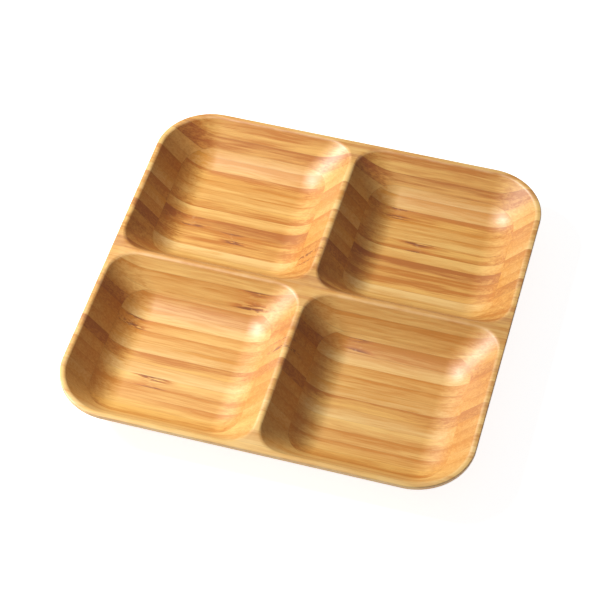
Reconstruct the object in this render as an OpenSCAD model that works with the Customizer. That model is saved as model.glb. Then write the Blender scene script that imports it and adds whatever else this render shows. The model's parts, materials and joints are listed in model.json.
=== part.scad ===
/* [Plate] */
// Outside width of the square plate across its rim
plate_w = 248; // [200:1:280]
// Width of the flat rim that runs round the plate
rim_w = 3; // [2:0.25:4.25]
// Thickness of the walls and of the floor, measured square to the surface
shell_t = 4; // [3:0.25:6]
// Radius of the level ground left inside each corner, from which the corner's walls rise
corner_flat = 1.5; // [0.5:0.25:12]

/* [Compartments] */
// Depth of the compartments below the rim, which is also the radius of their rounding
pocket_depth = 23.5; // [19:0.5:24]
// Steepness of the compartment walls, in degrees from level
wall_slope = 50; // [48:1:60]
// Width of the cross-shaped divider at its top
divider_w = 3; // [2:0.25:6]

/* [Bamboo strips] */
// Number of strips that lie side by side in the upper layer
upper_strips = 32; // [24:2:32]
// Number of strips by which the lower layer has fewer, because it is narrower
fewer_strips_count = 4; // [4:2:6]
// Height of the lower layer of strips up to the glue line, as a share of the plate's height
lower_share = 0.436; // [0.3:0.002:0.56]
// How far the seams of the upper layer lie behind the middle of the plate
upper_shift = 1; // [-1:0.25:1]
// How far the seams of the lower layer lie behind the middle of the plate
lower_shift = -0.5; // [-2:0.25:2]

/* [Hidden] */
// How far every cutting shape runs past what it cuts
overrun = 1;
// Fineness of the round surfaces
$fn = 96;

// How far a surface lies inside the rounding that it runs into, so that the two cross. The
// rounding up a corner lies one slip inside the ball at its foot, and a wall lies two inside
tangent_slip = 0.001;

// Centre lines are kept to a thousandth, so that neighbouring blocks meet face to face
function snug(length) = round(length * 1000) / 1000;

// Height of the rim above the flat base
rim_z = pocket_depth + shell_t;
// Height of the glue line between the two layers of strips
glue_z = snug(lower_share * rim_z);

// From the top edge of a compartment wall in to the centre line of its rounding
wall_run = (pocket_depth - 2 * tangent_slip) / sin(wall_slope);
// Outward step of a wall that is carried on past the rim by the overrun
overrun_step = overrun / tan(wall_slope);

half_w = plate_w / 2;
// Height of the upright band round the edge, down to where the outside wall draws in
band_h = (shell_t - rim_w * sin(wall_slope)) / cos(wall_slope);

// Centre lines of a compartment's walls, from the middle of the plate outwards
near_wall = divider_w / 2;
far_wall = half_w - rim_w;
near_line = snug(near_wall + wall_run);
far_line = snug(far_wall - wall_run);
// Axis of each corner of the plate, and its radius out to the edge of the rim
corner_axis = far_line - corner_flat;
corner_r = half_w - corner_axis;

// Half of the turn from one wall to the next about the corner's tilted axis
corner_half_turn = acos(pow(cos(wall_slope), 2)) / 2;
// Lean of that axis away from upright
corner_tilt = atan(sqrt(2) / tan(wall_slope));

// Thickness of one strip of bamboo, which is the distance from seam to seam
strip_w = plate_w / (upper_strips - 1);
lower_strips = upper_strips - fewer_strips_count;

// Front edge of strip i in a layer of so many strips, counted from 1 at the front of the plate
function strip_front(count, shift, i) =
    i <= 1 ? -half_w - overrun :
    i > count ? half_w + overrun :
    snug(shift + (i - 1 - count / 2) * strip_w);

function two_digits(i) = i < 10 ? str("0", i) : str(i);
function upper_name(i) = str("upper_strip_", two_digits(i));
function lower_name(i) = str("lower_strip_", two_digits(i));

// Tones of the strips from front to back: pale, honey, amber and toasted
upper_tones = "hphhphhhthhathhhtaaathpaphahhtah";
lower_tones = "hahhhpaphhphhahhhpaathahhapp";
function tone_colour(letter) =
    letter == "p" ? "#E7BB7C" :
    letter == "h" ? "#DDA85E" :
    letter == "a" ? "#D39C52" :
    "#BF813C";
function tone(tones, i) = tone_colour(tones[(i - 1) % len(tones)]);

function overlaps(a0, a1, b0, b1) = a0 < b1 && b0 < a1;

// Square corner left outside the rounding of radius r, between a level face and a wall
module rounding_waste(r) {
    reach = 2 * r;
    difference() {
        polygon([
            [0, 0],
            [0, -reach],
            [reach, -reach],
            [reach * sin(wall_slope), -reach * cos(wall_slope)]
        ]);
        circle(r);
    }
}

// Half section of the outside, from a corner's axis outwards, standing on the base
module outside_section() {
    edge = corner_r - corner_flat;
    foot = edge - (rim_z - band_h) / tan(wall_slope);
    square([corner_flat, rim_z]);
    translate([corner_flat, rim_z]) difference() {
        polygon([[0, 0], [0, -rim_z], [foot, -rim_z], [edge, -band_h], [edge, 0]]);
        rounding_waste(rim_z);
    }
}

// The part of that half section that lies between two heights
module layer_section(z0, z1) {
    intersection() {
        outside_section();
        translate([0, z0]) square([corner_r, z1 - z0]);
    }
}

// The solid layer between two heights, for the stretch of the plate from y0 to y1
module layer_blank(y0, y1, z0, z1) {
    if (overlaps(y0, y1, -corner_axis, corner_axis)) {
        front = max(y0, -corner_axis);
        back = min(y1, corner_axis);
        translate([0, back, 0]) rotate([90, 0, 0]) linear_extrude(back - front) {
            translate([-corner_axis, z0]) square([2 * corner_axis, z1 - z0]);
            translate([corner_axis, 0]) layer_section(z0, z1);
            mirror([1, 0]) translate([corner_axis, 0]) layer_section(z0, z1);
        }
    }
    for (side = [0, 1]) mirror([0, side, 0]) {
        front = side == 0 ? max(y0, corner_axis) : max(-y1, corner_axis);
        back = side == 0 ? y1 : -y0;
        if (front < back) intersection() {
            translate([-half_w, front, 0]) cube([plate_w, back - front, rim_z]);
            union() {
                translate([-corner_axis, corner_axis, 0]) rotate([90, 0, 90])
                    linear_extrude(2 * corner_axis) layer_section(z0, z1);
                for (end = [0, 1]) mirror([end, 0, 0])
                    translate([corner_axis, corner_axis, 0])
                        rotate_extrude(angle = 90) layer_section(z0, z1);
            }
        }
    }
}

// Section under one wall with a square foot, from its centre line out, with the rim at 0
module square_section() {
    foot = wall_run - pocket_depth / tan(wall_slope);
    polygon([
        [0, overrun],
        [0, -pocket_depth],
        [foot, -pocket_depth],
        [wall_run + overrun_step, overrun]
    ]);
}

// The same section with its foot rounded
module wall_section() {
    difference() {
        square_section();
        rounding_waste(pocket_depth);
    }
}

// What a wall of some length along +X hollows out on its +Y side
module wall_hollow(length) {
    rotate([90, 0, 90]) linear_extrude(length) wall_section();
}

// Hollow at a corner between two walls, rounded as a ball leaves it that rolls up the corner
module small_corner() {
    reach = 2 * wall_run;
    half_wide = 2 * reach * tan(corner_half_turn);
    difference() {
        intersection() {
            rotate([90, 0, 90]) linear_extrude(reach) square_section();
            mirror([1, -1, 0]) rotate([90, 0, 90]) linear_extrude(reach) square_section();
        }
        difference() {
            rotate([0, 0, 45]) rotate([0, corner_tilt, 0])
                translate([0, 0, -reach]) linear_extrude(2 * reach)
                    polygon([[0, 0], [2 * reach, -half_wide], [2 * reach, half_wide]]);
            rotate([90, 0, 0]) sphere(pocket_depth);
            rotate([0, 0, 45]) rotate([0, corner_tilt, 0])
                cylinder(2 * reach, r = pocket_depth - tangent_slip);
        }
    }
}

// Hollow at the corner of a compartment that keeps to the plate's own corner
module big_corner() {
    rotate_extrude(angle = 90) {
        translate([0, -pocket_depth]) square([corner_flat, pocket_depth + overrun]);
        translate([corner_flat, 0]) wall_section();
    }
}

// The hollow of one compartment in blocks that meet face to face, as far as they reach
// into the stretch from y0 to y1
module compartment(y0, y1) {
    near = near_line;
    far = far_line;
    axis = corner_axis;
    translate([0, 0, rim_z]) {
        // Level floor between the centre lines
        if (overlaps(y0, y1, near, far))
            translate([0, 0, -pocket_depth]) linear_extrude(pocket_depth + overrun)
                polygon([[near, near], [far, near], [far, axis], [axis, axis], [axis, far], [near, far]]);
        // Wall against the long arm of the divider
        if (overlaps(y0, y1, near_wall, near)) {
            translate([near, near, 0]) mirror([0, 1, 0]) wall_hollow(far - near);
            translate([near, near, 0]) rotate([0, 0, 180]) small_corner();
            translate([far, near, 0]) rotate([0, 0, 270]) small_corner();
        }
        // Walls across the strips, at the divider and at the plate's side
        if (overlaps(y0, y1, near, far)) {
            translate([near, near, 0]) rotate([0, 0, 90]) wall_hollow(far - near);
            translate([far, near, 0]) mirror([1, 0, 0]) rotate([0, 0, 90]) wall_hollow(axis - near);
        }
        // Wall along the plate's edge, with the plate's own corner at its end
        if (overlaps(y0, y1, axis, far_wall)) {
            translate([near, far, 0]) wall_hollow(axis - near);
            translate([near, far, 0]) rotate([0, 0, 90]) small_corner();
            translate([axis, axis, 0]) big_corner();
        }
    }
}

// One strip of bamboo: its length of the layer, less the hollows that are cut into it
module strip(y0, y1, z0, z1) {
    difference() {
        layer_blank(y0, y1, z0, z1);
        for (end = [0, 1]) mirror([end, 0, 0]) {
            if (y1 > near_wall) compartment(y0, y1);
            if (y0 < -near_wall) mirror([0, 1, 0]) compartment(-y1, -y0);
        }
    }
}

// Strip of the upper layer, which carries the rim, the divider and most of the walls
module upper_strip(i) {
    color(tone(upper_tones, i))
        strip(
            strip_front(upper_strips, upper_shift, i),
            strip_front(upper_strips, upper_shift, i + 1),
            glue_z, rim_z
        );
}

// Strip of the lower layer, which carries the floors and the flat base
module lower_strip(i) {
    color(tone(lower_tones, i))
        strip(
            strip_front(lower_strips, lower_shift, i),
            strip_front(lower_strips, lower_shift, i + 1),
            0, glue_z
        );
}

for (i = [1 : upper_strips]) upper_strip(i);
for (i = [1 : lower_strips]) lower_strip(i);
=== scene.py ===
"""Looks of a divided compartment plate, milled from two glued layers of bamboo strips."""

from __future__ import annotations

import json
import logging
import math
from dataclasses import dataclass, field
from enum import Enum
from typing import Callable, Iterable

import bmesh
import bpy
import numpy as np
from mathutils import Euler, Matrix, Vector

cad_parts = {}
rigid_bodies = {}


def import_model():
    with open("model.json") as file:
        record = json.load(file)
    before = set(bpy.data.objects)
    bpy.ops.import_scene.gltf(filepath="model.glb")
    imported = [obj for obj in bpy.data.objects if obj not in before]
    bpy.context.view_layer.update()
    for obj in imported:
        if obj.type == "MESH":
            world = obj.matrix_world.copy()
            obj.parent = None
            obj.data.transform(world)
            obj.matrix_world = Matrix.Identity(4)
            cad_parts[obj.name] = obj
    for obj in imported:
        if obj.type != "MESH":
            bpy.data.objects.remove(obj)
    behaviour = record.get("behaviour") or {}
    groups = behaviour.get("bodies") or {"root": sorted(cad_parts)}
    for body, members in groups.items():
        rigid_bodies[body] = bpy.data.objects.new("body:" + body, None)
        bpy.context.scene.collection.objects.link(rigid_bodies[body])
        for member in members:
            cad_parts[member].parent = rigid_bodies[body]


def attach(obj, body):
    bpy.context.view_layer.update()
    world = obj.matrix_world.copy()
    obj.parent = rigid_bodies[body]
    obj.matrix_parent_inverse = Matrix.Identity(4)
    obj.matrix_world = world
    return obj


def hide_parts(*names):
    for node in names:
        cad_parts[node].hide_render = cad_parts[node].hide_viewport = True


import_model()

LOG = logging.getLogger("plate")
MM = 0.001
# Two places closer than this are the same place
NEAR = 1e-5

# What the meshes carry from one step to the next, by the names of their attributes
WHOLE_NORMAL = "whole_normal"
WOOD_PLACE = "wood_place"
STRIP_FACTS = "strip_facts"

Socket = bpy.types.NodeSocket
# A colour, a place or a turn
Triple = tuple[float, float, float]
# Two values of an input, and what each of them becomes
Fade = tuple[float, float, float, float]


def deselect() -> None:
    """Leave edit mode and select nothing."""
    if bpy.context.object and bpy.context.object.mode != "OBJECT":
        bpy.ops.object.mode_set(mode="OBJECT")
    bpy.ops.object.select_all(action="DESELECT")


def activate(piece: bpy.types.Object) -> None:
    """Select one piece alone and make it the active one.

    Args:
        piece: The object that the next operators act on.
    """
    deselect()
    piece.select_set(True)
    bpy.context.view_layer.objects.active = piece


def at_height(part: bmesh.types.BMFace | bmesh.types.BMEdge, height: float) -> bool:
    """Whether every corner of a face or edge lies at one height."""
    return all(abs(v.co.z - height) < NEAR for v in part.verts)


def rises(edge: bmesh.types.BMEdge, low: float, high: float) -> bool:
    """Whether an edge runs from one height up to another."""
    bottom, top = sorted(v.co.z for v in edge.verts)
    return abs(bottom - low) < NEAR and abs(top - high) < NEAR


def pick(kind: str, test: Callable[..., bool]) -> int:
    """Select in edit mode the parts of the active mesh that a test picks.

    Args:
        kind: "faces" or "edges".
        test: Says for one part whether it is wanted.

    Returns:
        The number of parts selected.
    """
    mesh = bpy.context.object.data
    work = bmesh.from_edit_mesh(mesh)
    for part in (*work.faces, *work.edges, *work.verts):
        part.select_set(False)
    chosen = [part for part in getattr(work, kind) if test(part)]
    for part in chosen:
        part.select_set(True)
    bmesh.update_edit_mesh(mesh)
    return len(chosen)


def read_vectors(items: bpy.types.bpy_prop_collection, name: str) -> np.ndarray:
    """Read one vector of every item in a mesh's list.

    Args:
        items: The list, such as the mesh's vertices.
        name: What the vector is called on an item.

    Returns:
        A row for each item.
    """
    numbers = np.empty(len(items) * 3, np.float32)
    items.foreach_get(name, numbers)
    return numbers.reshape(-1, 3)


class Tone(Enum):
    """Tones of bamboo, each with its letter in the rows below and its slot in the record."""

    PALE = ("p", "bamboo_pale")
    HONEY = ("h", "bamboo_honey")
    AMBER = ("a", "bamboo_amber")
    TOASTED = ("t", "bamboo_toasted")

    def __init__(self, letter: str, slot: str) -> None:
        """Keep the tone's letter and its slot."""
        self.letter = letter
        self.slot = slot


@dataclass
class PlateSizes:
    """Sizes of the plate in metres, the same ones that its solids are made from."""

    width: float = 248 * MM
    rim: float = 3 * MM
    divider: float = 3 * MM
    shell: float = 4 * MM
    depth: float = 23.5 * MM
    slope: float = math.radians(50)
    corner_flat: float = 1.5 * MM
    glue_height: float = 11.99 * MM

    @property
    def height(self) -> float:
        """Height of the rim above the base."""
        return self.depth + self.shell

    @property
    def run(self) -> float:
        """Level distance from the top edge of a wall to the border of the level floor."""
        return self.depth / math.sin(self.slope)

    @property
    def corner(self) -> float:
        """Radius of the plate's corners at the rim."""
        return self.run + self.rim + self.corner_flat

    @property
    def band(self) -> float:
        """Height of the upright band under the rim's outer edge."""
        return (self.shell - self.rim * math.sin(self.slope)) / math.cos(self.slope)

    @property
    def floor_reach(self) -> tuple[float, float]:
        """Inner and outer border of a compartment's level floor, from the middle outwards."""
        return self.divider / 2 + self.run, self.width / 2 - self.rim - self.run

    @property
    def corner_turn(self) -> float:
        """Turn from one wall of a compartment to the next, about the edge between them."""
        return math.acos(math.cos(self.slope) ** 2)


@dataclass
class BallCut:
    """How the surface leans that a ball cutter leaves inside the compartments."""

    sizes: PlateSizes

    def lean(self, places: np.ndarray) -> np.ndarray:
        """Work out which way the surface faces at places inside the compartments.

        Args:
            places: The places, one in a row.

        Returns:
            A normal for each place.
        """
        s = self.sizes
        flat = np.abs(places[:, :2])
        stand, small = self.stands(flat)
        back = np.column_stack([stand - flat, s.shell + s.depth - places[:, 2]])
        lean = self.foot_lean(back)
        lean[small] = self.corner_lean(back[small])
        lean[:, :2] *= np.sign(places[:, :2])
        return lean

    def stands(self, flat: np.ndarray) -> tuple[np.ndarray, np.ndarray]:
        """Find where the ball stands nearest to each place, on the border of the level floor.

        Args:
            flat: The places as distances from the two middle lines of the plate.

        Returns:
            Where the ball stands for each place, and whether the place lies in one of a
            compartment's small corners, and not in the large one at the plate's own corner.
        """
        s = self.sizes
        near, far = s.floor_reach
        axis = far - s.corner_flat
        stand = np.clip(flat, near, far)
        outer = flat - axis
        large = (outer > 0).all(axis=1)
        reach = np.linalg.norm(outer, axis=1, keepdims=True)
        rounded = axis + s.corner_flat * outer / np.maximum(reach, NEAR)
        stand[large] = np.minimum(rounded, flat)[large]
        return stand, (stand != flat).all(axis=1) & ~large

    def foot_lean(self, back: np.ndarray) -> np.ndarray:
        """Lean of the surface up a straight wall or round the large corner.

        Args:
            back: The way from each place to the middle of the ball.

        Returns:
            A normal for each place.
        """
        run = np.linalg.norm(back[:, :2], axis=1)
        # Where the ball's own rounding ends, the wall goes on straight
        sine = np.minimum(run / self.sizes.depth, math.sin(self.sizes.slope))
        level = back[:, :2] * (sine / np.maximum(run, NEAR))[:, None]
        return np.column_stack([level, np.sqrt(1 - sine**2)])

    def corner_lean(self, back: np.ndarray) -> np.ndarray:
        """Lean of the surface in a small corner, which the ball rolls up on a slanting line.

        Args:
            back: The way from each place to the middle of the ball at the corner's foot.

        Returns:
            A normal for each place.
        """
        sine, cosine = math.sin(self.sizes.slope), math.cos(self.sizes.slope)
        walls = [np.array([sine, 0, cosine]), np.array([0, sine, cosine])]
        rise = np.cross(*walls)
        rise *= np.sign(rise[2]) / np.linalg.norm(rise)
        ways = np.sign(np.column_stack([back[:, :2], np.ones(len(back))]))
        ball = back * ways
        up = np.minimum(ball @ rise, 0)
        ball -= up[:, None] * rise
        ball /= np.linalg.norm(ball, axis=1, keepdims=True)
        # Beyond the end of the rounding the surface is the wall itself
        for wall, other in (walls, walls[::-1]):
            past = (up < 0) & (ball @ other < math.cos(self.sizes.corner_turn))
            ball[past] = wall
        return ball * ways


@dataclass
class PlateBody:
    """The whole plate as one body, shaped before it is parted into its strips."""

    sizes: PlateSizes
    corner_steps: int = 28
    arc_steps: int = 18
    rim_steps: int = 5
    inner_softening: float = 1.2 * MM
    outer_softening: float = 0.7 * MM
    # An edge that is to be softened turns by more than this
    edge_turn: float = 0.5
    # At the rim the edges of the walls turn by less than this, and the plate's own by more
    square_turn: float = 1.2
    # Edges that turn by less than this are shaded smooth
    smooth_below: float = math.radians(35)
    # Profile of a round bevel
    plain_profile: float = 0.5

    def build(self) -> bpy.types.Object:
        """Shape the body from a sheet.

        Returns:
            The finished body, which isn't a piece itself.
        """
        self.add_blank()
        self.sink_compartments()
        self.round_feet()
        self.soften_rim()
        return self.smooth()

    def add_blank(self) -> None:
        """Add a square sheet, round its corners, and draw it down to the band and the base."""
        s = self.sizes
        deselect()
        bpy.ops.mesh.primitive_plane_add(size=s.width, location=(0, 0, s.height))
        bpy.context.object.name = "body"
        bpy.ops.object.transform_apply(location=True, rotation=True, scale=True)
        bpy.ops.object.mode_set(mode="EDIT")
        bpy.ops.mesh.select_all(action="SELECT")
        bpy.ops.mesh.bevel(
            affect="VERTICES",
            offset=s.corner,
            segments=self.corner_steps,
            profile=self.plain_profile,
        )
        bpy.ops.mesh.select_all(action="SELECT")
        bpy.ops.mesh.extrude_region_move(TRANSFORM_OT_translate={"value": (0, 0, -s.band)})
        bpy.ops.mesh.select_all(action="SELECT")
        bpy.ops.mesh.normals_make_consistent(inside=False)
        drop = s.height - s.band
        pick("faces", lambda f: at_height(f, drop))
        bpy.ops.mesh.inset(thickness=drop / math.tan(s.slope), depth=drop)

    def sink_compartments(self) -> None:
        """Part the top in four inside the rim and sink each quarter with sloping walls."""
        s = self.sizes
        # Each quarter of the top is larger than this, and each face of the rim is smaller
        large = (s.width / 4) ** 2 / 2

        def top(face: bmesh.types.BMFace) -> bool:
            """Whether a face is a large level one at the rim."""
            return at_height(face, s.height) and face.calc_area() > large

        pick("faces", top)
        bpy.ops.mesh.inset(thickness=s.rim - s.divider / 2, depth=0)
        for across in ((1, 0, 0), (0, 1, 0)):
            pick("faces", top)
            bpy.ops.mesh.bisect(plane_co=(0, 0, 0), plane_no=across)
        pick("faces", top)
        bpy.ops.mesh.inset(use_individual=True, thickness=s.divider / 2, depth=0)
        fall = s.depth / math.tan(s.slope)
        bpy.ops.mesh.inset(use_individual=True, thickness=fall, depth=-s.depth)

    def round_feet(self) -> None:
        """Round the foot of every wall and the corners between walls, as a ball cutter does."""
        s = self.sizes

        def floor_edge(edge: bmesh.types.BMEdge) -> bool:
            """Whether an edge runs round a compartment's floor."""
            return at_height(edge, s.shell) and edge.calc_face_angle(0) > s.slope / 2

        def wall_edge(edge: bmesh.types.BMEdge) -> bool:
            """Whether an edge rises between two walls of a compartment."""
            turns = edge.calc_face_angle(0) > s.corner_turn / 2
            return turns and rises(edge, s.shell, s.height)

        def base_edge(edge: bmesh.types.BMEdge) -> bool:
            """Whether an edge runs round the base."""
            return at_height(edge, 0)

        widths = {
            floor_edge: s.depth * math.tan(s.slope / 2),
            wall_edge: s.depth * math.tan(s.corner_turn / 2),
            base_edge: s.height * math.tan(s.slope / 2),
        }
        widest = max(widths.values())
        bpy.ops.mesh.select_mode(type="EDGE")
        for test, width in widths.items():
            pick("edges", test)
            bpy.ops.transform.edge_bevelweight(value=width / widest)
        bpy.ops.object.mode_set(mode="OBJECT")
        rounding = bpy.context.object.modifiers.new("rounding", "BEVEL")
        rounding.limit_method = "WEIGHT"
        rounding.width = widest
        rounding.segments = self.arc_steps
        # The middle of the rounding lies where it does on a true arc of this turn
        rounding.profile = (1 - 0.5 / (1 + math.cos(s.slope / 2))) ** 2
        rounding.use_clamp_overlap = False
        bpy.ops.object.modifier_apply(modifier=rounding.name)

    def soften_rim(self) -> None:
        """Round over the sharp edges of the rim, the divider and the outer band."""
        s = self.sizes

        def inner(edge: bmesh.types.BMEdge) -> bool:
            """Whether an edge is the top edge of a compartment's wall."""
            turn = edge.calc_face_angle(0)
            return at_height(edge, s.height) and self.edge_turn < turn < self.square_turn

        def outer(edge: bmesh.types.BMEdge) -> bool:
            """Whether an edge bounds the upright band, above or below."""
            level = at_height(edge, s.height) or at_height(edge, s.height - s.band)
            return level and edge.calc_face_angle(0) > self.edge_turn

        bpy.ops.object.mode_set(mode="EDIT")
        bpy.ops.mesh.select_mode(type="EDGE")
        for test, width in ((inner, self.inner_softening), (outer, self.outer_softening)):
            found = pick("edges", test)
            LOG.info("softening %d edges by %.2f mm", found, width / MM)
            bpy.ops.mesh.bevel(
                affect="EDGES", offset=width, segments=self.rim_steps, profile=self.plain_profile
            )
        bpy.ops.object.mode_set(mode="OBJECT")

    def smooth(self) -> bpy.types.Object:
        """Shade the body smooth and keep its normals for the strips that are cut from it.

        Returns:
            The finished body.
        """
        s = self.sizes
        body = bpy.context.object
        bpy.ops.object.shade_smooth_by_angle(angle=self.smooth_below)
        flats = body.modifiers.new("flats stay flat", "WEIGHTED_NORMAL")
        flats.keep_sharp = True
        bpy.ops.object.modifier_apply(modifier=flats.name)
        mesh = body.data
        normals = read_vectors(mesh.corner_normals, "vector")
        corners = np.empty(len(mesh.loops), np.int32)
        mesh.loops.foreach_get("vertex_index", corners)
        places = read_vectors(mesh.vertices, "co")[corners]
        height = places[:, 2]
        walls = (height > s.shell + NEAR) & (height < s.height - self.inner_softening)
        inside = walls & (normals[:, 2] > 0)
        normals[inside] = BallCut(s).lean(places[inside])
        kept = mesh.attributes.new(WHOLE_NORMAL, "FLOAT_VECTOR", "CORNER")
        kept.data.foreach_set("vector", normals.ravel())
        return body


@dataclass
class StripLayer:
    """One layer of strips, numbered from the front of the plate."""

    name: str
    bottom: float
    top: float
    shift: float
    tones: str
    sizes: PlateSizes
    seed: int
    # How far the lit surfaces, those that don't face right, are all of one tone; those facing
    # right keep the strips' full tones as painted shade
    evenness: float
    # Strips that cross a joint of their culm, with its place along X
    joints: dict[int, float] = field(default_factory=dict)
    # Strips that are darker than their draw makes them, or paler where this is below 0
    shades: dict[int, float] = field(default_factory=dict)
    pitch: float = 8 * MM
    # Place along X, far outside the plate, that stands for no joint
    no_joint: float = 9.0
    # How far apart the strips are cut from the culm
    spread: float = 1.0
    # Share of the strips that lie with the culm's outer side to the front
    turned_share: float = 0.2
    cut_threshold: float = 1e-7
    # Unit vectors with a larger product than this point the same way
    alike: float = 0.99

    def front(self, number: int) -> float:
        """Where the front edge of a strip lies along Y, as if the plate had no edge."""
        return self.shift + (number - 1 - len(self.tones) / 2) * self.pitch

    def tone(self, number: int) -> Tone:
        """The tone of a strip."""
        return next(t for t in Tone if t.letter == self.tones[number - 1])

    def build(
        self, body: bpy.types.Object, finishes: dict[Tone, bpy.types.Material]
    ) -> list[bpy.types.Object]:
        """Cut every strip of the layer out of the body and dress it.

        Args:
            body: The whole plate.
            finishes: The layer's material for each tone.

        Returns:
            The strips.
        """
        strips = []
        for number in range(1, len(self.tones) + 1):
            strip = self.cut(body, number)
            strip.name = f"{self.name}_bamboo_{number:02d}"
            self.mark(strip, number)
            tone = self.tone(number)
            strip.data.materials.clear()
            strip.data.materials.append(finishes[tone])
            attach(strip, "root")
            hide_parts(f"{self.name}_strip_{number:02d}")
            strips.append(strip)
        return strips

    def cut(self, body: bpy.types.Object, number: int) -> bpy.types.Object:
        """Copy the body and keep only what lies within one strip.

        Args:
            body: The whole plate.
            number: The strip, counted from 1.

        Returns:
            The strip, closed and shaded as the whole plate was.
        """
        strip = body.copy()
        strip.data = body.data.copy()
        bpy.context.collection.objects.link(strip)
        activate(strip)
        bpy.ops.object.mode_set(mode="EDIT")
        # No cut is needed where the plate's own front, back, base or rim ends the strip
        planes = (
            ((0, self.front(number), 0), (0, -1, 0), number > 1),
            ((0, self.front(number + 1), 0), (0, 1, 0), number < len(self.tones)),
            ((0, 0, self.bottom), (0, 0, -1), self.bottom > 0),
            ((0, 0, self.top), (0, 0, 1), self.top < self.sizes.height),
        )
        cuts = [(Vector(place), Vector(outwards)) for place, outwards, needed in planes if needed]
        for place, outwards in cuts:
            bpy.ops.mesh.select_all(action="SELECT")
            bpy.ops.mesh.bisect(
                plane_co=place,
                plane_no=outwards,
                use_fill=True,
                clear_outer=True,
                threshold=self.cut_threshold,
            )
        bpy.ops.object.mode_set(mode="OBJECT")
        self.take_normals(strip.data, cuts)
        return strip

    def take_normals(self, mesh: bpy.types.Mesh, cuts: Iterable[tuple[Vector, Vector]]) -> None:
        """Shade a strip's outside with the whole plate's normals and its glued faces flat.

        Args:
            mesh: The strip's mesh.
            cuts: A place on each cut and the direction outwards from it.
        """
        kept = mesh.attributes[WHOLE_NORMAL]
        normals = read_vectors(kept.data, "vector")
        for face in mesh.polygons:
            for place, outwards in cuts:
                on_cut = abs((face.center - place).dot(outwards)) < NEAR
                if on_cut and face.normal.dot(outwards) > self.alike:
                    normals[list(face.loop_indices)] = outwards
        mesh.attributes.remove(kept)
        mesh.normals_split_custom_set([tuple(n) for n in normals])

    def mark(self, strip: bpy.types.Object, number: int) -> None:
        """Store on the strip where its wood lies within the culm that it came from.

        Args:
            strip: The strip.
            number: Its number in the layer.
        """
        mesh = strip.data
        places = read_vectors(mesh.vertices, "co")
        chance = np.random.default_rng((self.seed, number))
        wood = places + chance.uniform(-self.spread, self.spread, 3)
        draw = chance.uniform(0, 1)
        across = (places[:, 1] - self.front(number)) / self.pitch
        # Place across the strip, the strip's shade, and the way from its joint
        facts = np.column_stack(
            [
                1 - across if draw < self.turned_share else across,
                np.full(len(places), draw + self.shades.get(number, 0.0)),
                places[:, 0] - self.joints.get(number, self.no_joint),
            ]
        )
        for name, rows in ((WOOD_PLACE, wood), (STRIP_FACTS, facts)):
            stored = mesh.attributes.new(name, "FLOAT_VECTOR", "POINT")
            stored.data.foreach_set("vector", rows.astype(np.float32).ravel())


@dataclass(frozen=True)
class Noise:
    """A noise with its fineness per metre along the fibres, across the strip and upwards."""

    along: float
    across: float
    upwards: float
    detail: float = 2.0
    rough: float = 0.5


class NodeDesk:
    """Lays out shader nodes in a tree, with short calls for the usual ones."""

    def __init__(self, tree: bpy.types.NodeTree) -> None:
        """Work on one tree."""
        self.tree = tree

    def add(
        self, kind: str, inputs: dict[str | int, object] | None = None, **settings: object
    ) -> bpy.types.Node:
        """Add a node.

        Args:
            kind: The node's type, without "ShaderNode" in front.
            inputs: A value or a socket for each named or numbered input.
            settings: Properties of the node.

        Returns:
            The node.
        """
        node = self.tree.nodes.new("ShaderNode" + kind)
        for name, value in settings.items():
            setattr(node, name, value)
        for name, value in (inputs or {}).items():
            if isinstance(value, Socket):
                self.tree.links.new(value, node.inputs[name])
            else:
                node.inputs[name].default_value = value
        return node

    def math(self, operation: str, *values: object, clamp: bool = False) -> Socket:
        """Add a Math node and return its result."""
        inputs = dict(enumerate(values))
        return self.add("Math", inputs, operation=operation, use_clamp=clamp).outputs[0]

    def ramp(
        self, value: Socket, low: float, high: float, to_low: float = 0.0, to_high: float = 1.0
    ) -> Socket:
        """Map a value smoothly from one range to another.

        Args:
            value: The value.
            low: First end of its range.
            high: Second end of its range.
            to_low: What the first end becomes.
            to_high: What the second end becomes.

        Returns:
            The mapped value.
        """
        inputs = {
            "Value": value,
            "From Min": low,
            "From Max": high,
            "To Min": to_low,
            "To Max": to_high,
        }
        return self.add("MapRange", inputs, interpolation_type="SMOOTHSTEP").outputs[0]

    def stretch(self, place: Socket, noise: Noise) -> Socket:
        """Scale a place by a noise's fineness each way."""
        inputs = {0: place, 1: (noise.along, noise.across, noise.upwards)}
        return self.add("VectorMath", inputs, operation="MULTIPLY").outputs[0]

    def noise(self, place: Socket, noise: Noise) -> Socket:
        """Add a noise texture.

        Args:
            place: Where the noise is read.
            noise: Its fineness and detail.

        Returns:
            The noise's value.
        """
        inputs = {
            "Vector": self.stretch(place, noise),
            "Scale": 1.0,
            "Detail": noise.detail,
            "Roughness": noise.rough,
        }
        return self.add("TexNoise", inputs).outputs[0]

    def mix(self, factor: object, first: object, second: object, blend: str = "MIX") -> Socket:
        """Mix two colours.

        Args:
            factor: How far the second colour shows.
            first: The first colour, as a socket or as three numbers.
            second: The second colour, in the same way.
            blend: How the second colour is laid over the first.

        Returns:
            The mixed colour.
        """
        pair = [c if isinstance(c, Socket) else (*c, 1.0) for c in (first, second)]
        # The node's sockets for colours come after those for numbers and vectors
        inputs = {0: factor, 6: pair[0], 7: pair[1]}
        return self.add("Mix", inputs, data_type="RGBA", blend_type=blend).outputs[2]

    def attribute(self, name: str) -> Socket:
        """Read a vector that is stored on the mesh."""
        return self.add("Attribute", attribute_name=name).outputs["Vector"]

    def split(self, vector: Socket) -> list[Socket]:
        """The three parts of a vector."""
        return list(self.add("SeparateXYZ", {0: vector}).outputs)

    def shared(self, effect: bpy.types.NodeTree, inputs: dict[str, object]) -> dict[str, Socket]:
        """Place a node group and return its outputs by name."""
        outputs = self.add("Group", inputs, node_tree=effect).outputs
        return {socket.name: socket for socket in outputs}


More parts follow.
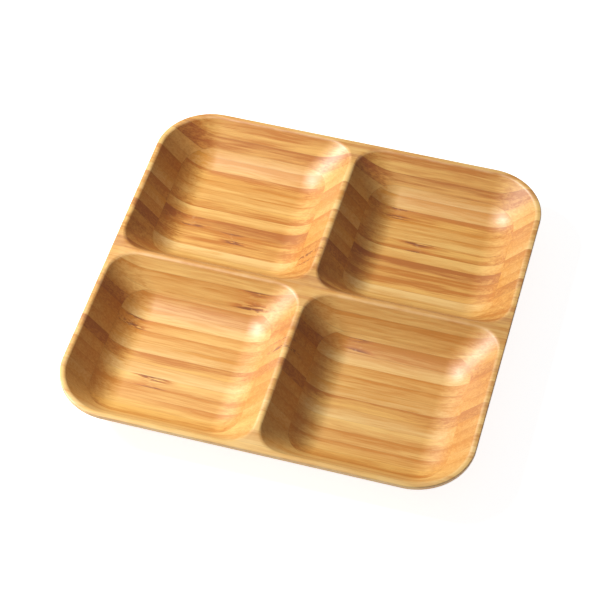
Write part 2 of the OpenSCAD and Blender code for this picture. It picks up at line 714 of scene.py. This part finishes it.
class Group:
    """A shader node group in the making, with named inputs and outputs."""

    def __init__(
        self, name: str, inputs: dict[str, float | Triple], outputs: Iterable[str]
    ) -> None:
        """Make an empty group.

        Args:
            name: The group's name.
            inputs: Each input's name with its default value, a number or a vector.
            outputs: The names of the outputs, which are all numbers.
        """
        self.tree = bpy.data.node_groups.new(name, "ShaderNodeTree")
        for label, value in inputs.items():
            kind = "NodeSocketVector" if isinstance(value, tuple) else "NodeSocketFloat"
            socket = self.tree.interface.new_socket(label, in_out="INPUT", socket_type=kind)
            socket.default_value = value
        for label in outputs:
            self.tree.interface.new_socket(
                label, in_out="OUTPUT", socket_type="NodeSocketFloat"
            )
        self.desk = NodeDesk(self.tree)
        self.given = self.tree.nodes.new("NodeGroupInput").outputs
        self.result = self.tree.nodes.new("NodeGroupOutput").inputs

    def put_out(self, results: dict[str, Socket]) -> bpy.types.NodeTree:
        """Link the results to the outputs.

        Args:
            results: The result for each output's name.

        Returns:
            The group's tree.
        """
        for label, value in results.items():
            self.tree.links.new(value, self.result[label])
        return self.tree


@dataclass(frozen=True)
class Fibres:
    """Fibres that run along a strip, from broad clouds and streaks to fine lines and bundles."""

    sway: Noise = Noise(15, 40, 40)
    sway_width: float = 4 * MM
    clouds: Noise = Noise(12, 115, 60, 2.5, 0.55)
    streaks: Noise = Noise(20, 420, 380, 3.0, 0.6)
    broad_fade: Fade = (0.3, 0.7, 0.0, 1.0)
    fine: Noise = Noise(34, 900, 760, 3.0, 0.65)
    fine_fade: Fade = (0.38, 0.62, 0.0, 1.0)
    fine_share: float = 0.6
    bundles: Noise = Noise(40, 700, 900)
    bundle_fade: Fade = (0.12, 0.3, 1.0, 0.0)
    bundle_share: float = 0.7
    bundle_depth: float = 0.5
    # Where there are bundles at all
    patches: Noise = Noise(22, 500, 700)
    patch_fade: Fade = (0.45, 0.65, 0.0, 1.0)

    def make(self) -> bpy.types.NodeTree:
        """Build the group.

        Returns:
            The group's tree.
        """
        outputs = ("Clouds", "Streaks", "Lines", "Height")
        group = Group("bamboo fibres", {"Place": (0.0, 0.0, 0.0)}, outputs)
        d, given = group.desk, group.given["Place"]
        sway = d.math("SUBTRACT", d.noise(given, self.sway), 0.5)
        sway = d.math("MULTIPLY", sway, self.sway_width)
        sway = d.add("CombineXYZ", {"Y": sway, "Z": sway}).outputs[0]
        place = d.add("VectorMath", {0: given, 1: sway}, operation="ADD").outputs[0]
        fine = d.noise(place, self.fine)
        cells = d.add(
            "TexVoronoi",
            {"Vector": d.stretch(place, self.bundles), "Scale": 1.0, "Randomness": 1.0},
            feature="F1",
        )
        bundles = d.ramp(cells.outputs["Distance"], *self.bundle_fade)
        patches = d.ramp(d.noise(place, self.patches), *self.patch_fade)
        bundles = d.math("MULTIPLY", bundles, patches)
        lines = d.math("MULTIPLY", d.ramp(fine, *self.fine_fade), self.fine_share)
        dent = d.math("MULTIPLY", bundles, self.bundle_depth)
        return group.put_out(
            {
                "Clouds": d.ramp(d.noise(place, self.clouds), *self.broad_fade),
                "Streaks": d.ramp(d.noise(place, self.streaks), *self.broad_fade),
                "Lines": d.math("MULTIPLY_ADD", bundles, self.bundle_share, lines),
                "Height": d.math("SUBTRACT", fine, dent),
            }
        )


@dataclass(frozen=True)
class JointMark:
    """The mark where a strip crosses a joint of its culm.

    Brown streaks swell along the grain to both sides of a thin pale line across it.
    """

    sway: Noise = Noise(30, 260, 260)
    sway_width: float = 14 * MM
    swell_fade: Fade = (0.0, 26 * MM, 1.0, 0.0)
    streaks: Noise = Noise(50, 620, 620, 3.0, 0.6)
    streak_fade: Fade = (0.42, 0.53, 0.0, 1.0)
    # Place across the strip, from 0 to 1, where the stain is weakest
    heart: float = 0.6
    heart_fade: Fade = (0.0, 0.5, 0.25, 1.0)
    scar_fade: Fade = (0.2 * MM, 1.2 * MM, 1.0, 0.0)
    breaks: Noise = Noise(200, 700, 700)
    break_fade: Fade = (0.42, 0.6, 0.0, 1.0)

    def make(self) -> bpy.types.NodeTree:
        """Build the group.

        Returns:
            The group's tree.
        """
        inputs = {"Place": (0.0, 0.0, 0.0), "From Joint": 9.0, "Across": 0.5}
        group = Group("culm joint", inputs, ("Stain", "Scar"))
        d, given = group.desk, group.given
        place = given["Place"]
        sway = d.math("SUBTRACT", d.noise(place, self.sway), 0.5)
        far = d.math("MULTIPLY_ADD", sway, self.sway_width, given["From Joint"])
        far = d.math("ABSOLUTE", far)
        swell = d.ramp(far, *self.swell_fade)
        streaks = d.ramp(d.noise(place, self.streaks), *self.streak_fade)
        aside = d.math("ABSOLUTE", d.math("SUBTRACT", given["Across"], self.heart))
        sides = d.ramp(aside, *self.heart_fade)
        swell = d.math("MULTIPLY", swell, swell)
        scar = d.ramp(far, *self.scar_fade)
        breaks = d.ramp(d.noise(place, self.breaks), *self.break_fade)
        return group.put_out(
            {
                "Stain": d.math("MULTIPLY", swell, d.math("MULTIPLY", streaks, sides)),
                "Scar": d.math("MULTIPLY", scar, breaks),
            }
        )


@dataclass(frozen=True)
class GlueSeams:
    """Fine glue lines between neighbouring strips and between the two layers."""

    strip_fade: Fade = (0.04 * MM, 0.3 * MM, 1.0, 0.0)
    layer_fade: Fade = (0.04 * MM, 0.26 * MM, 0.9, 0.0)
    patches: Noise = Noise(30, 30, 30)
    patch_fade: Fade = (0.35, 0.65, 0.35, 1.0)

    def make(self) -> bpy.types.NodeTree:
        """Build the group.

        Returns:
            The group's tree.
        """
        inputs = {
            "Place": (0.0, 0.0, 0.0),
            "Across": 0.5,
            "Pitch": 8 * MM,
            "Glue Height": 12 * MM,
        }
        group = Group("glue seams", inputs, ("Seam",))
        d, given = group.desk, group.given
        side = d.math("MINIMUM", given["Across"], d.math("SUBTRACT", 1.0, given["Across"]))
        away = d.math("MULTIPLY", d.math("ABSOLUTE", side), given["Pitch"])
        height = d.split(d.add("TexCoord").outputs["Object"])[2]
        above = d.math("ABSOLUTE", d.math("SUBTRACT", height, given["Glue Height"]))
        seam = d.math(
            "MAXIMUM", d.ramp(away, *self.strip_fade), d.ramp(above, *self.layer_fade)
        )
        patches = d.ramp(d.noise(given["Place"], self.patches), *self.patch_fade)
        return group.put_out({"Seam": d.math("MULTIPLY", seam, patches)})


@dataclass(frozen=True)
class SandedEdgesAndHighlight:
    """The paler rounding along the top edges of the rim and the divider, from sanding and a
    painted highlight.
    """

    below_fade: Fade = (0.2 * MM, 1.4 * MM, 1.0, 0.0)
    # A level top is sanded less than a rounding, and gets less painted highlight
    upwards_fade: Fade = (0.8, 1.0, 1.0, 0.5)
    edge_breakup: Noise = Noise(110, 110, 110)
    edge_breakup_fade: Fade = (0.35, 0.65, 0.3, 1.0)

    def make(self) -> bpy.types.NodeTree:
        """Build the group.

        Returns:
            The group's tree.
        """
        inputs = {"Place": (0.0, 0.0, 0.0), "Height": 27.5 * MM}
        group = Group("sanded edges and painted highlight", inputs, ("Edge",))
        d, given = group.desk, group.given
        height = d.split(d.add("TexCoord").outputs["Object"])[2]
        below = d.ramp(d.math("SUBTRACT", given["Height"], height), *self.below_fade)
        upwards = d.split(d.add("NewGeometry").outputs["Normal"])[2]
        edge = d.math("MULTIPLY", below, d.ramp(upwards, *self.upwards_fade))
        edge_breakup = d.ramp(d.noise(given["Place"], self.edge_breakup), *self.edge_breakup_fade)
        return group.put_out({"Edge": d.math("MULTIPLY", edge, edge_breakup)})


@dataclass(frozen=True)
class Facing:
    """How far a surface cuts across the fibres, how far it faces down, and how far it faces right,
    away from the lamp, where the finishes paint shade.
    """

    across_fade: Fade = (0.12, 0.9, 0.0, 1.0)
    right_fade: Fade = (0.05, 0.5, 0.0, 1.0)
    down_fade: Fade = (-0.9, -0.2, 1.0, 0.0)

    def make(self) -> bpy.types.NodeTree:
        """Build the group.

        Returns:
            The group's tree.
        """
        outputs = ("End Grain", "Facing Right", "Facing Down")
        group = Group("facing", {"Strength": 1.0}, outputs)
        d = group.desk
        sideways, _, upwards = d.split(d.add("NewGeometry").outputs["Normal"])
        ends = d.ramp(d.math("ABSOLUTE", sideways), *self.across_fade)
        return group.put_out(
            {
                "End Grain": d.math("MULTIPLY", ends, group.given["Strength"]),
                "Facing Right": d.ramp(sideways, *self.right_fade),
                "Facing Down": d.ramp(upwards, *self.down_fade),
            }
        )


# The tone between all tones, in its light and its dark wood
MIDDLE_LIGHT = (0.83, 0.50, 0.136)
MIDDLE_DARK = (0.58, 0.215, 0.010)
# What the wood turns to round a culm joint, in its middle and on its pale line
STAIN_RING = (0.58, 0.20, 0.016)
STAIN_HEART = (0.27, 0.072, 0.006)
SCAR = (0.80, 0.52, 0.22)
GLUE = (0.2, 0.08, 0.02)
# Colour of the top edges, paled by sanding and by a painted highlight
SANDED_AND_HIGHLIGHT = (0.92, 0.64, 0.30)
# Painted shade: tint of the surfaces that face right, away from the lamp
SHADED_SIDE_TINT = (1.0, 0.96, 0.92)


@dataclass(frozen=True)
class BambooFinish:
    """Oiled bamboo of one tone."""

    tone: Tone
    light: Triple
    dark: Triple
    contrast: float

    # How far each thing leads from the light to the dark wood
    start: float = 0.3
    clouds: float = 0.7
    streaks: float = 0.6
    shade: float = 0.45
    ends: float = 0.22
    # The same for the culm's outer side and for fine lines, each with what contrast adds to it
    outer: tuple[float, float] = (0.35, 0.5)
    lines: tuple[float, float] = (0.3, 0.45)
    # How steeply a strip darkens towards the culm's outer side, and that curve's mean
    outer_power: float = 2.5
    outer_mean: float = 0.29
    # How far the grain calms down where the fibres are cut across
    calm: float = 0.6

    ring_fade: Fade = (0.0, 0.5, 0.0, 1.0)
    heart_fade: Fade = (0.3, 0.95, 0.0, 1.0)
    scar: float = 0.2
    seam: float = 0.22
    # How far the top edges turn pale, from sanding and a painted highlight
    sanded_and_highlight: float = 0.38

    roughness: float = 0.46
    rougher_lines: float = 0.1
    rougher_clouds: float = 0.06
    bump: float = 0.10
    bump_height: float = 0.3 * MM
    seam_height: float = 0.6
    ior: float = 1.5
    # The film of oil, of which little builds up on the side that the plate stands on
    film: float = 0.9
    film_loss: float = 0.8
    film_roughness: float = 0.52
    film_ior: float = 1.75

    def make(
        self, layer: StripLayer, effects: dict[str, bpy.types.NodeTree]
    ) -> bpy.types.Material:
        """Build the material.

        Args:
            layer: The layer that wears it.
            effects: The shared node groups.

        Returns:
            The material.
        """
        material = bpy.data.materials.new(f"{self.tone.slot}_{layer.name}")
        material.use_nodes = True
        material.node_tree.nodes.clear()
        d = NodeDesk(material.node_tree)
        marks = self.read_marks(d, layer, effects)
        rough = d.math("MULTIPLY_ADD", marks["Lines"], self.rougher_lines, self.roughness)
        rough = d.math("MULTIPLY_ADD", marks["Clouds"], self.rougher_clouds, rough)
        groove = d.math("MULTIPLY", marks["Seam"], self.seam_height)
        relief = {
            "Height": d.math("SUBTRACT", marks["Height"], groove),
            "Strength": self.bump,
            "Distance": self.bump_height,
        }
        surface = {
            "Base Color": self.colour(d, marks, layer.evenness),
            "Roughness": rough,
            "Normal": d.add("Bump", relief).outputs[0],
            "IOR": self.ior,
            "Coat Weight": d.math(
                "MULTIPLY_ADD", marks["Facing Down"], -self.film_loss, self.film
            ),
            "Coat Roughness": self.film_roughness,
            "Coat IOR": self.film_ior,
        }
        d.add("OutputMaterial", {"Surface": d.add("BsdfPrincipled", surface).outputs[0]})
        return material

    @staticmethod
    def read_marks(
        d: NodeDesk, layer: StripLayer, effects: dict[str, bpy.types.NodeTree]
    ) -> dict[str, Socket]:
        """Place the shared node groups.

        Args:
            d: Lays out the material's nodes.
            layer: The layer that wears the material.
            effects: The shared node groups.

        Returns:
            What the groups say about a place on a strip, with what the strip carries itself.
        """
        place = {"Place": d.attribute(WOOD_PLACE)}
        across, shade, from_joint = d.split(d.attribute(STRIP_FACTS))
        joint = {"From Joint": from_joint, "Across": across}
        glue = {"Across": across, "Pitch": layer.pitch, "Glue Height": layer.sizes.glue_height}
        return {
            "Across": across,
            "Shade": shade,
            **d.shared(effects["fibres"], place),
            **d.shared(effects["joint"], place | joint),
            **d.shared(effects["seams"], place | glue),
            **d.shared(effects["edges"], place | {"Height": layer.sizes.height}),
            **d.shared(effects["facing"], {}),
        }

    def darkness(self, d: NodeDesk, marks: dict[str, Socket]) -> Socket:
        """Work out where the wood stands between the light and the dark colour.

        Args:
            d: Lays out the material's nodes.
            marks: What the shared groups say.

        Returns:
            The share of the dark colour.
        """
        # A strip darkens towards the side that lay outermost in the culm
        outer = d.math("POWER", d.math("ABSOLUTE", marks["Across"]), self.outer_power)
        outer = d.math("SUBTRACT", outer, self.outer_mean)
        middle = -(self.clouds + self.streaks) / 2
        grain = d.math("MULTIPLY_ADD", marks["Clouds"], self.clouds, middle)
        grain = d.math("MULTIPLY_ADD", marks["Streaks"], self.streaks, grain)
        dark = d.math("MULTIPLY_ADD", grain, self.contrast, self.start)
        by_outer, by_lines = (a + b * self.contrast for a, b in (self.outer, self.lines))
        dark = d.math("MULTIPLY_ADD", outer, by_outer, dark)
        shade = d.math("SUBTRACT", marks["Shade"], 0.5)
        dark = d.math("MULTIPLY_ADD", shade, self.shade, dark)
        calm = d.math("MULTIPLY_ADD", marks["End Grain"], -self.calm, 1.0)
        dark = d.math("MULTIPLY_ADD", d.math("SUBTRACT", dark, 0.5), calm, 0.5)
        dark = d.math("MULTIPLY_ADD", marks["Lines"], by_lines, dark)
        return d.math("MULTIPLY_ADD", marks["End Grain"], self.ends, dark, clamp=True)

    def colour(self, d: NodeDesk, marks: dict[str, Socket], evenness: float) -> Socket:
        """Colour the wood and what marks it, with painted shade on the surfaces that face right
        and a painted highlight on the top edges.

        Args:
            d: Lays out the material's nodes.
            marks: What the shared groups say.
            evenness: How far the lit surfaces, those that don't face right, are of the middle
                tone.

        Returns:
            The colour.
        """
        dark = self.darkness(d, marks)
        # Painted shade: surfaces that face right, away from the lamp, keep the strips' full tones
        # with a reddish tint, while on the lit surfaces the tones are drawn together
        even_light = Vector(self.light).lerp(Vector(MIDDLE_LIGHT), evenness)
        even_dark = Vector(self.dark).lerp(Vector(MIDDLE_DARK), evenness)
        lit_side = d.mix(dark, even_light, even_dark)
        shaded_side = d.mix(1.0, d.mix(dark, self.light, self.dark), SHADED_SIDE_TINT, "MULTIPLY")
        colour = d.mix(marks["Facing Right"], lit_side, shaded_side)
        colour = d.mix(d.ramp(marks["Stain"], *self.ring_fade), colour, STAIN_RING)
        colour = d.mix(d.ramp(marks["Stain"], *self.heart_fade), colour, STAIN_HEART)
        colour = d.mix(d.math("MULTIPLY", marks["Scar"], self.scar), colour, SCAR)
        colour = d.mix(d.math("MULTIPLY", marks["Seam"], self.seam), colour, GLUE)
        # Top edges paler, from sanding and a painted highlight
        return d.mix(d.math("MULTIPLY", marks["Edge"], self.sanded_and_highlight), colour, SANDED_AND_HIGHLIGHT)


FINISHES = (
    BambooFinish(Tone.PALE, light=(0.85, 0.565, 0.215), dark=(0.65, 0.28, 0.022), contrast=0.5),
    BambooFinish(Tone.HONEY, light=MIDDLE_LIGHT, dark=MIDDLE_DARK, contrast=0.55),
    BambooFinish(Tone.AMBER, light=(0.77, 0.405, 0.075), dark=(0.50, 0.158, 0.004), contrast=0.9),
    BambooFinish(Tone.TOASTED, light=(0.68, 0.30, 0.042), dark=(0.39, 0.10, 0.002), contrast=0.95),
)


@dataclass
class Studio:
    """A white floor, one soft window at the left, and the photograph's viewpoint."""

    eye: Triple = (0.220029, -0.788808, 1.025417)
    turn: Triple = (39.0306, 0.1929, 15.6637)
    lens: float = 129.0
    sensor: float = 36.0
    window_place: Triple = (-0.65, -0.045, 0.632)
    window_size: float = 0.24
    window_power: float = 11.6
    soft_light: float = 0.17
    floor_width: float = 30.0
    floor_paint: float = 0.8
    floor_glow: float = 0.86

    def build(self) -> None:
        """Set up camera, window, world and floor."""
        self.set_camera()
        self.hang_window()
        self.set_world()
        self.lay_floor()
        bpy.context.scene.view_settings.view_transform = "Standard"

    def set_camera(self) -> None:
        """Place the camera."""
        data = bpy.data.cameras.new("camera")
        data.lens, data.sensor_width = self.lens, self.sensor
        camera = bpy.data.objects.new("camera", data)
        bpy.context.collection.objects.link(camera)
        camera.location = self.eye
        camera.rotation_euler = Euler([math.radians(a) for a in self.turn])
        bpy.context.scene.camera = camera

    def hang_window(self) -> None:
        """Hang the only lamp, at the left of the plate and facing its middle."""
        data = bpy.data.lights.new("window", "AREA")
        data.size, data.energy = self.window_size, self.window_power
        window = bpy.data.objects.new("window", data)
        bpy.context.collection.objects.link(window)
        window.location = self.window_place
        inwards = -Vector(self.window_place)
        window.rotation_euler = inwards.to_track_quat("-Z", "Y").to_euler()

    @staticmethod
    def any_ray(d: NodeDesk, *kinds: str) -> Socket:
        """Tell rays of some kinds from all others.

        Args:
            d: Lays out the nodes.
            kinds: The outputs of the Light Path node that count.

        Returns:
            A value of 1 for such rays and 0 for others.
        """
        rays = d.add("LightPath").outputs
        seen = rays[kinds[0]]
        for kind in kinds[1:]:
            seen = d.math("MAXIMUM", seen, rays[kind])
        return seen

    def set_world(self) -> None:
        """Light softly from all round and show white behind everything."""
        world = bpy.data.worlds.new("studio")
        world.use_nodes = True
        world.node_tree.nodes.clear()
        d = NodeDesk(world.node_tree)
        soft, white = (
            d.add("Background", {"Color": (1, 1, 1, 1), "Strength": strength}).outputs[0]
            for strength in (self.soft_light, 1.0)
        )
        seen = self.any_ray(d, "Is Camera Ray", "Is Transmission Ray")
        both = d.add("MixShader", {0: seen, 1: soft, 2: white})
        d.add("OutputWorld", {"Surface": both.outputs[0]})
        bpy.context.scene.world = world

    def lay_floor(self) -> None:
        """Lay a wide white floor that shows the plate's shadow."""
        deselect()
        bpy.ops.mesh.primitive_plane_add(size=self.floor_width, location=(0, 0, 0))
        floor = bpy.context.object
        floor.name = "floor"
        material = bpy.data.materials.new("white floor")
        material.use_nodes = True
        material.node_tree.nodes.clear()
        d = NodeDesk(material.node_tree)
        seen = self.any_ray(d, "Is Camera Ray", "Is Transmission Ray", "Is Glossy Ray")
        glow = d.math("MULTIPLY", seen, self.floor_glow)
        paint = d.add("BsdfDiffuse", {"Color": (*[self.floor_paint] * 3, 1)})
        light = d.add("Emission", {"Color": (1, 1, 1, 1), "Strength": glow})
        both = d.add("AddShader", {0: paint.outputs[0], 1: light.outputs[0]})
        d.add("OutputMaterial", {"Surface": both.outputs[0]})
        floor.data.materials.append(material)


def lay_up(sizes: PlateSizes) -> tuple[StripLayer, StripLayer]:
    """Describe the two layers that the plate is glued up from.

    Args:
        sizes: The plate's sizes.

    Returns:
        The upper and the lower layer.
    """
    upper = StripLayer(
        name="upper",
        bottom=sizes.glue_height,
        top=sizes.height,
        shift=1 * MM,
        tones="hphhphhhthhathhhtaaathpaphahhtah",
        sizes=sizes,
        seed=1487,
        evenness=0.5,
        joints={11: -2 * MM, 15: -30 * MM, 20: -8 * MM},
        shades={
            3: -0.6,
            4: -1.1,
            12: -0.3,
            17: 0.7,
            20: -0.4,
            21: -0.4,
            24: -0.3,
            25: -0.6,
            28: -1.5,
            29: -1.1,
            30: -0.4,
        },
    )
    lower = StripLayer(
        name="lower",
        bottom=0.0,
        top=sizes.glue_height,
        shift=-0.5 * MM,
        tones="hahhhpaphhphhahhhpaathahhapp",
        sizes=sizes,
        seed=7032,
        evenness=0.3,
        joints={
            5: -75 * MM,
            10: -100 * MM,
            12: 36 * MM,
            20: -60 * MM,
            21: -88 * MM,
            23: 52 * MM,
            26: 34 * MM,
        },
        shades={4: 0.45, 12: 0.5, 20: 0.3, 21: 0.8, 23: 0.4, 25: 0.4, 27: 0.5, 28: 0.6},
    )
    return upper, lower


def main() -> None:
    """Build the strips and the studio."""
    logging.basicConfig(level=logging.INFO, format="%(name)s: %(message)s")
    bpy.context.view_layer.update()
    sizes = PlateSizes()
    body = PlateBody(sizes).build()
    LOG.info("body: %d faces", len(body.data.polygons))
    effects = {
        "fibres": Fibres().make(),
        "joint": JointMark().make(),
        "seams": GlueSeams().make(),
        "edges": SandedEdgesAndHighlight().make(),
        "facing": Facing().make(),
    }
    for layer in lay_up(sizes):
        finishes = {finish.tone: finish.make(layer, effects) for finish in FINISHES}
        for strip in layer.build(body, finishes):
            LOG.info("%s: %d faces", strip.name, len(strip.data.polygons))
    bpy.data.objects.remove(body)
    Studio().build()


if __name__ == "__main__":
    main()
